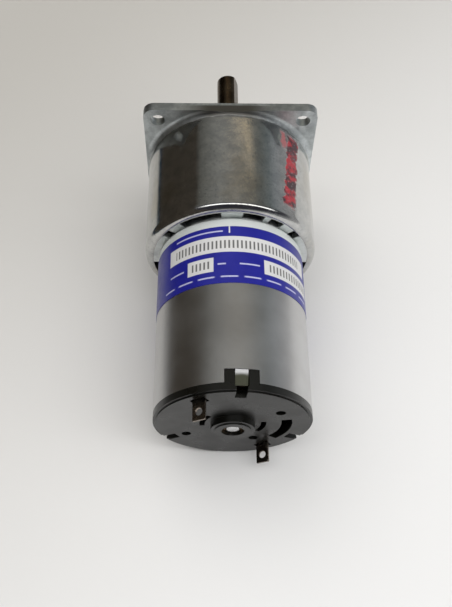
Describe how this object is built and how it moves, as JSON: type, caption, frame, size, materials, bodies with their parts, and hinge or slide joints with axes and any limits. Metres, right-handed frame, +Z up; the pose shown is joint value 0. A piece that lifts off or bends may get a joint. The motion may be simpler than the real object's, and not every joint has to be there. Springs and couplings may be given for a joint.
{
  "type": "geared dc motor",
  "caption": "Brushed can motor on a round planetary gearbox with a square four-hole flange, a flatted output shaft and two solder tabs.",
  "frame": {"origin": "centre of the flange's front face, on the shaft axis", "axes": "+Y out along the output shaft, +Z up, +X to the right seen from the motor's rear"},
  "size_m": [0.0436, 0.1108, 0.0436],
  "materials": {
    "zinc_steel": "zinc-plated drawn steel, lightly mottled",
    "can_steel": "satin nickel-plated steel",
    "shaft_steel": "ground steel, oiled",
    "dark_steel": "blackened spring steel",
    "gear_steel": "sintered steel, greased",
    "bright_steel": "bright steel",
    "bronze": "sintered bronze",
    "brass": "machined brass",
    "copper": "copper",
    "ferrite": "ferrite magnet",
    "carbon": "carbon graphite",
    "white_plastic": "natural acetal",
    "brown_plastic": "phenolic",
    "cap_plastic": "matte black moulding",
    "tinned_tab": "tinned brass",
    "label_film": "printed blue film, no lettering"
  },
  "bodies": {
    "root": {"gear_housing": "zinc_steel", "motor_plate": "zinc_steel", "output_bush": "bronze", "thrust_washer": "white_plastic", "ring_gear": "gear_steel", "motor_screws": "bright_steel", "motor_can": "can_steel", "front_bush": "bronze", "magnets": "ferrite", "magnet_clips": "bright_steel", "brushes": "carbon", "brush_springs": "brass", "end_cap": "cap_plastic", "rear_bush": "bronze", "terminal_left": "tinned_tab", "terminal_right": "tinned_tab", "label": "label_film"},
    "output": {"output_shaft": "shaft_steel", "retaining_ring": "dark_steel", "output_carrier": "gear_steel", "output_pins": "bright_steel"},
    "first_stage": {"first_carrier": "gear_steel", "first_pins": "bright_steel", "second_sun": "gear_steel"},
    "rotor": {"rotor_shaft": "bright_steel", "motor_pinion": "brass", "armature_core": "gear_steel", "windings": "copper", "commutator_base": "brown_plastic", "commutator_bars": "copper", "rotor_washers": "white_plastic"},
    "output_gear_1": {"output_planet_1": "gear_steel"},
    "first_gear_1": {"first_planet_1": "white_plastic"},
    "output_gear_2": {"output_planet_2": "gear_steel"},
    "first_gear_2": {"first_planet_2": "white_plastic"},
    "output_gear_3": {"output_planet_3": "gear_steel"},
    "first_gear_3": {"first_planet_3": "white_plastic"}
  },
  "joints": [
    {"name": "output_spin", "type": "hinge", "parent": "root", "child": "output", "pos_m": [0, 0, 0], "axis": [0, 1, 0], "continuous": true},
    {"name": "first_stage_spin", "type": "hinge", "parent": "root", "child": "first_stage", "pos_m": [0, -0.0166, 0], "axis": [0, 1, 0], "continuous": true},
    {"name": "rotor_spin", "type": "hinge", "parent": "root", "child": "rotor", "pos_m": [0, -0.052, 0], "axis": [0, 1, 0], "continuous": true},
    {"name": "output_gear_1_spin", "type": "hinge", "parent": "output", "child": "output_gear_1", "pos_m": [0.0105, -0.0106, 0], "axis": [0, 1, 0], "continuous": true},
    {"name": "first_gear_1_spin", "type": "hinge", "parent": "first_stage", "child": "first_gear_1", "pos_m": [0.0105, -0.0217, 0], "axis": [0, 1, 0], "continuous": true},
    {"name": "output_gear_2_spin", "type": "hinge", "parent": "output", "child": "output_gear_2", "pos_m": [-0.00525, -0.0106, 0.00909], "axis": [0, 1, 0], "continuous": true},
    {"name": "first_gear_2_spin", "type": "hinge", "parent": "first_stage", "child": "first_gear_2", "pos_m": [-0.00525, -0.0217, 0.00909], "axis": [0, 1, 0], "continuous": true},
    {"name": "output_gear_3_spin", "type": "hinge", "parent": "output", "child": "output_gear_3", "pos_m": [-0.00525, -0.0106, -0.00909], "axis": [0, 1, 0], "continuous": true},
    {"name": "first_gear_3_spin", "type": "hinge", "parent": "first_stage", "child": "first_gear_3", "pos_m": [-0.00525, -0.0217, -0.00909], "axis": [0, 1, 0], "continuous": true}
  ],
  "couplings": [
    {"joint": "output_spin", "follows": "rotor_spin", "ratio": 0.04},
    {"joint": "first_stage_spin", "follows": "rotor_spin", "ratio": 0.2},
    {"joint": "output_gear_1_spin", "follows": "rotor_spin", "ratio": -0.10667},
    {"joint": "first_gear_1_spin", "follows": "rotor_spin", "ratio": -0.53333},
    {"joint": "output_gear_2_spin", "follows": "rotor_spin", "ratio": -0.10667},
    {"joint": "first_gear_2_spin", "follows": "rotor_spin", "ratio": -0.53333},
    {"joint": "output_gear_3_spin", "follows": "rotor_spin", "ratio": -0.10667},
    {"joint": "first_gear_3_spin", "follows": "rotor_spin", "ratio": -0.53333}
  ]
}
